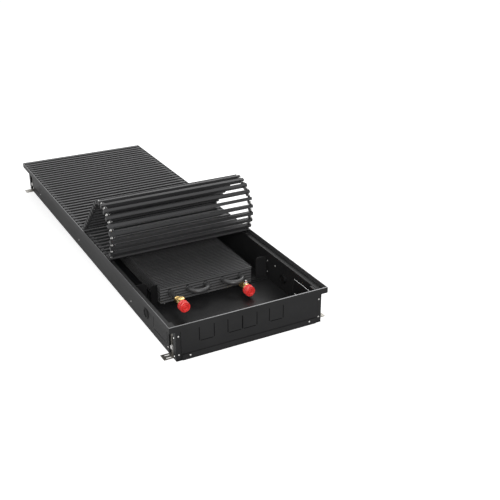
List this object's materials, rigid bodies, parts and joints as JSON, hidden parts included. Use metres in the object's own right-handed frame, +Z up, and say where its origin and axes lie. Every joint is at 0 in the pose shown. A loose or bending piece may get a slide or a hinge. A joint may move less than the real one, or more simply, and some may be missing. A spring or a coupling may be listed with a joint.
{
  "type": "trench convector heater",
  "caption": "Low steel trench casing with a finned heating coil inside, adjustable corner legs and a roll-up bar grille folded back from the pipe end.",
  "frame": {"origin": "middle of the casing's flat underside, which is level with the undersides of the four feet", "axes": "+X across the trench, +Y along it towards the end without pipes (the pipe end is at -Y), +Z up"},
  "size_m": [0.414, 1.2, 0.2248],
  "materials": {
    "pan": "satin black powder coat",
    "fins": "black lacquered",
    "tube": "black lacquered copper",
    "grille": "dark anodised",
    "zinc": "zinc plated",
    "brass": "turned",
    "nickel": "nickel plated",
    "red": "moulded",
    "black_plastic": "moulded"
  },
  "bodies": {
    "casing": {"casing_pan": "pan", "end_panel_near": "pan", "end_panel_far": "pan", "leg_recess_near_left": "pan", "leg_recess_near_right": "pan", "leg_recess_far_left": "pan", "leg_recess_far_right": "pan", "clamp_bolt_near_left": "zinc", "clamp_bolt_near_right": "zinc", "clamp_bolt_far_left": "zinc", "clamp_bolt_far_right": "zinc", "blanking_plug_left": "black_plastic", "blanking_plug_right": "black_plastic", "fin_pack": "fins", "fin_saddle_1": "pan", "fin_saddle_2": "pan", "fin_saddle_3": "pan", "return_bend_1": "tube", "return_bend_2": "tube", "return_bend_3": "tube", "return_bend_4": "tube", "return_bend_5": "tube", "flow_stub": "tube", "return_stub": "tube", "flow_fitting": "brass", "return_fitting": "brass"},
    "leg_near_left": {"leg_bracket_near_left": "zinc"},
    "leg_near_right": {"leg_bracket_near_right": "zinc"},
    "leg_far_left": {"leg_bracket_far_left": "zinc"},
    "leg_far_right": {"leg_bracket_far_right": "zinc"},
    "flow_cap": {"flow_cap": "red"},
    "return_cap": {"return_cap": "red"},
    "neck_plug": {"neck_plug": "brass"},
    "bleed_vent": {"bleed_vent": "nickel"},
    "grille": {"grille_flat": "grille"},
    "fold_1": {"grille_bar_1": "grille"},
    "fold_2": {"grille_bar_2": "grille"},
    "fold_3": {"grille_bar_3": "grille"},
    "fold_4": {"grille_bar_4": "grille"},
    "fold_5": {"grille_bar_5": "grille"},
    "fold_6": {"grille_bar_6": "grille"},
    "fold_7": {"grille_bar_7": "grille"},
    "fold_8": {"grille_bar_8": "grille"},
    "fold_9": {"grille_bar_9": "grille"},
    "fold_10": {"grille_bar_10": "grille"},
    "fold_11": {"grille_bar_11": "grille"},
    "fold_12": {"grille_bar_12": "grille", "grille_bar_13": "grille", "grille_bar_14": "grille", "grille_bar_15": "grille", "grille_bar_16": "grille", "grille_bar_17": "grille", "grille_bar_18": "grille", "grille_bar_19": "grille", "grille_bar_20": "grille"}
  },
  "joints": [
    {"name": "leg_near_left_adjust", "type": "slide", "parent": "casing", "child": "leg_near_left", "axis": [0, 0, -1], "range_m": [0, 0.025]},
    {"name": "leg_near_right_adjust", "type": "slide", "parent": "casing", "child": "leg_near_right", "axis": [0, 0, -1], "range_m": [0, 0.025]},
    {"name": "leg_far_left_adjust", "type": "slide", "parent": "casing", "child": "leg_far_left", "axis": [0, 0, -1], "range_m": [0, 0.025]},
    {"name": "leg_far_right_adjust", "type": "slide", "parent": "casing", "child": "leg_far_right", "axis": [0, 0, -1], "range_m": [0, 0.025]},
    {"name": "flow_cap_pull", "type": "slide", "parent": "casing", "child": "flow_cap", "axis": [0, -1, 0], "range_m": [0, 0.03]},
    {"name": "return_cap_pull", "type": "slide", "parent": "casing", "child": "return_cap", "axis": [0, -1, 0], "range_m": [0, 0.03]},
    {"name": "neck_plug_turn", "type": "hinge", "parent": "casing", "child": "neck_plug", "pos_m": [-0.093, -0.418, 0.04475], "axis": [0, 0, 1], "range_deg": [0, 360]},
    {"name": "bleed_vent_turn", "type": "hinge", "parent": "casing", "child": "bleed_vent", "pos_m": [0.092, -0.397, 0.03075], "axis": [0, 0, 1], "range_deg": [0, 360]},
    {"name": "grille_lift", "type": "slide", "parent": "casing", "child": "grille", "axis": [0, 0, 1], "range_m": [0, 0.15]},
    {"name": "crease_1", "type": "hinge", "parent": "grille", "child": "fold_1", "pos_m": [0, -0.20685, 0.08288], "axis": [1, 0, 0], "range_deg": [0, 40]},
    {"name": "crease_2", "type": "hinge", "parent": "fold_1", "child": "fold_2", "pos_m": [0, -0.22194, 0.09554], "axis": [1, 0, 0], "range_deg": [0, 25]},
    {"name": "crease_3", "type": "hinge", "parent": "fold_2", "child": "fold_3", "pos_m": [0, -0.23027, 0.11339], "axis": [1, 0, 0], "range_deg": [0, 10]},
    {"name": "crease_4", "type": "hinge", "parent": "fold_3", "child": "fold_4", "pos_m": [0, -0.23536, 0.13242], "axis": [1, 0, 0], "range_deg": [0, 10]},
    {"name": "crease_5", "type": "hinge", "parent": "fold_4", "child": "fold_5", "pos_m": [0, -0.23708, 0.15205], "axis": [1, 0, 0], "range_deg": [0, 15]},
    {"name": "crease_6", "type": "hinge", "parent": "fold_5", "child": "fold_6", "pos_m": [0, -0.23366, 0.17145], "axis": [1, 0, 0], "range_deg": [0, 15]},
    {"name": "crease_7", "type": "hinge", "parent": "fold_6", "child": "fold_7", "pos_m": [0, -0.22534, 0.1893], "axis": [1, 0, 0], "range_deg": [0, 20]},
    {"name": "crease_8", "type": "hinge", "parent": "fold_7", "child": "fold_8", "pos_m": [0, -0.21141, 0.20323], "axis": [1, 0, 0], "range_deg": [0, 10]},
    {"name": "crease_9", "type": "hinge", "parent": "fold_8", "child": "fold_9", "pos_m": [0, -0.19527, 0.21453], "axis": [1, 0, 0], "range_deg": [0, 20]},
    {"name": "crease_10", "type": "hinge", "parent": "fold_9", "child": "fold_10", "pos_m": [0, -0.17624, 0.21963], "axis": [1, 0, 0], "range_deg": [0, 15]},
    {"name": "crease_11", "type": "hinge", "parent": "fold_10", "child": "fold_11", "pos_m": [0, -0.15654, 0.21963], "axis": [1, 0, 0], "range_deg": [0, 25]},
    {"name": "crease_12", "type": "hinge", "parent": "fold_11", "child": "fold_12", "pos_m": [0, -0.13869, 0.2113], "axis": [1, 0, 0], "range_deg": [0, 18.92]}
  ]
}
